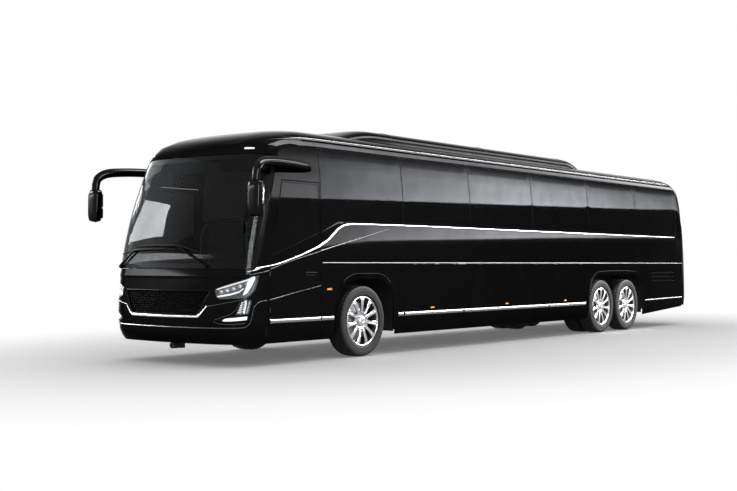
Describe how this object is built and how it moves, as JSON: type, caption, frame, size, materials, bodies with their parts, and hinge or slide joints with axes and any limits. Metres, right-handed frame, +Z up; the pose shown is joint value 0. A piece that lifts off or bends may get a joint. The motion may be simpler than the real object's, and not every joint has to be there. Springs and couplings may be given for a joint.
{
  "type": "coach bus",
  "caption": "Three-axle touring coach with a hollow cabin and luggage hold, steered front wheels, twin drive wheels, side doors, side flaps and a rear lid.",
  "frame": {"origin": "bottom centre of the whole vehicle, at ground level under its middle", "axes": "+Z up, front towards -Y, driver side towards +X"},
  "size_m": [3.39, 14.62, 3.4698],
  "materials": {
    "frame_steel": "satin black underbody coating",
    "body_paint": "gloss black with clear coat",
    "tinted_glass": "dark tinted, polished",
    "screen_glass": "tinted, polished",
    "tyre": "matte black rubber",
    "alloy": "polished",
    "grille_black": "black",
    "lamp_clear": "clear lens",
    "lamp_red": "red lens",
    "trim_black": "fine grain",
    "floor_board": "dark sheet",
    "seat_fabric": "woven dark grey"
  },
  "bodies": {
    "root": {"arch_liners": "trim_black", "chassis_frame": "frame_steel", "dashboard": "trim_black", "engine_block": "frame_steel", "floor_deck": "floor_board", "front_axle": "frame_steel", "front_frame": "frame_steel", "front_lamps": "lamp_clear", "front_mask": "body_paint", "grille": "grille_black", "hold_frame": "frame_steel", "luggage_hold": "floor_board", "mirrors": "body_paint", "rear_axles": "frame_steel", "rear_glass": "tinted_glass", "rear_panel": "body_paint", "roof_pod": "body_paint", "roof_shell": "body_paint", "seat_backs": "seat_fabric", "seat_cushions": "seat_fabric", "side_glass_left": "tinted_glass", "side_glass_right": "tinted_glass", "side_panel_left": "body_paint", "side_panel_right": "body_paint", "tail_lamps": "lamp_red", "tow_sockets": "frame_steel", "windshield": "screen_glass", "wipers": "trim_black"},
    "driver_door": {"driver_door": "body_paint", "driver_door_glass": "tinted_glass"},
    "entrance_door": {"entrance_door": "body_paint", "entrance_door_glass": "tinted_glass"},
    "engine_lid": {"engine_lid": "body_paint"},
    "steering_wheel": {"steering_wheel": "trim_black"},
    "luggage_flap_left_1": {"luggage_flap_left_1": "body_paint"},
    "luggage_flap_left_2": {"luggage_flap_left_2": "body_paint"},
    "luggage_flap_left_3": {"luggage_flap_left_3": "body_paint"},
    "knuckle_left": {"knuckle_left": "frame_steel"},
    "front_wheel_left": {"front_tyre_left": "tyre", "front_rim_left": "alloy"},
    "drive_wheel_left": {"drive_tyre_left": "tyre", "drive_rim_left": "alloy"},
    "tag_wheel_left": {"tag_tyre_left": "tyre", "tag_rim_left": "alloy"},
    "luggage_flap_right_1": {"luggage_flap_right_1": "body_paint"},
    "luggage_flap_right_2": {"luggage_flap_right_2": "body_paint"},
    "luggage_flap_right_3": {"luggage_flap_right_3": "body_paint"},
    "knuckle_right": {"knuckle_right": "frame_steel"},
    "front_wheel_right": {"front_tyre_right": "tyre", "front_rim_right": "alloy"},
    "drive_wheel_right": {"drive_tyre_right": "tyre", "drive_rim_right": "alloy"},
    "tag_wheel_right": {"tag_tyre_right": "tyre", "tag_rim_right": "alloy"}
  },
  "joints": [
    {"name": "driver_door_hinge", "type": "hinge", "parent": "root", "child": "driver_door", "pos_m": [1.283, -6.555, 1.2], "axis": [0, 0, -1], "range_deg": [0, 80]},
    {"name": "entrance_door_hinge", "type": "hinge", "parent": "root", "child": "entrance_door", "pos_m": [-1.283, -6.555, 1.2], "axis": [0, 0, 1], "range_deg": [0, 80]},
    {"name": "luggage_flap_left_1_hinge", "type": "hinge", "parent": "root", "child": "luggage_flap_left_1", "pos_m": [1.283, 0, 1.362], "axis": [0, -1, 0], "range_deg": [0, 88]},
    {"name": "luggage_flap_left_2_hinge", "type": "hinge", "parent": "root", "child": "luggage_flap_left_2", "pos_m": [1.283, 0, 1.362], "axis": [0, -1, 0], "range_deg": [0, 88]},
    {"name": "luggage_flap_left_3_hinge", "type": "hinge", "parent": "root", "child": "luggage_flap_left_3", "pos_m": [1.283, 0, 1.362], "axis": [0, -1, 0], "range_deg": [0, 88]},
    {"name": "steering_left", "type": "hinge", "parent": "root", "child": "knuckle_left", "pos_m": [0.9, -4.51, 0.522], "axis": [0, 0, 1], "range_deg": [-42, 42]},
    {"name": "front_wheel_left_spin", "type": "hinge", "parent": "knuckle_left", "child": "front_wheel_left", "pos_m": [1.095, -4.51, 0.522], "axis": [1, 0, 0], "continuous": true},
    {"name": "drive_wheel_left_spin", "type": "hinge", "parent": "root", "child": "drive_wheel_left", "pos_m": [1.095, 3.12, 0.522], "axis": [1, 0, 0], "continuous": true},
    {"name": "tag_wheel_left_spin", "type": "hinge", "parent": "root", "child": "tag_wheel_left", "pos_m": [1.095, 4.26, 0.522], "axis": [1, 0, 0], "continuous": true},
    {"name": "luggage_flap_right_1_hinge", "type": "hinge", "parent": "root", "child": "luggage_flap_right_1", "pos_m": [-1.283, 0, 1.362], "axis": [0, 1, 0], "range_deg": [0, 88]},
    {"name": "luggage_flap_right_2_hinge", "type": "hinge", "parent": "root", "child": "luggage_flap_right_2", "pos_m": [-1.283, 0, 1.362], "axis": [0, 1, 0], "range_deg": [0, 88]},
    {"name": "luggage_flap_right_3_hinge", "type": "hinge", "parent": "root", "child": "luggage_flap_right_3", "pos_m": [-1.283, 0, 1.362], "axis": [0, 1, 0], "range_deg": [0, 88]},
    {"name": "steering_right", "type": "hinge", "parent": "root", "child": "knuckle_right", "pos_m": [-0.9, -4.51, 0.522], "axis": [0, 0, 1], "range_deg": [-42, 42]},
    {"name": "front_wheel_right_spin", "type": "hinge", "parent": "knuckle_right", "child": "front_wheel_right", "pos_m": [-1.095, -4.51, 0.522], "axis": [1, 0, 0], "continuous": true},
    {"name": "drive_wheel_right_spin", "type": "hinge", "parent": "root", "child": "drive_wheel_right", "pos_m": [-1.095, 3.12, 0.522], "axis": [1, 0, 0], "continuous": true},
    {"name": "tag_wheel_right_spin", "type": "hinge", "parent": "root", "child": "tag_wheel_right", "pos_m": [-1.095, 4.26, 0.522], "axis": [1, 0, 0], "continuous": true},
    {"name": "engine_lid_hinge", "type": "hinge", "parent": "root", "child": "engine_lid", "pos_m": [0, 7.25883, 1.7], "axis": [1, 0, 0], "range_deg": [0, 75]},
    {"name": "steering_wheel_turn", "type": "hinge", "parent": "root", "child": "steering_wheel", "pos_m": [0.62, -6.49, 1.2532], "axis": [0, 0.5, 0.866], "range_deg": [-672, 672]}
  ],
  "couplings": [
    {"joint": "steering_right", "follows": "steering_left", "ratio": 1},
    {"joint": "steering_wheel_turn", "follows": "steering_left", "ratio": 16}
  ]
}
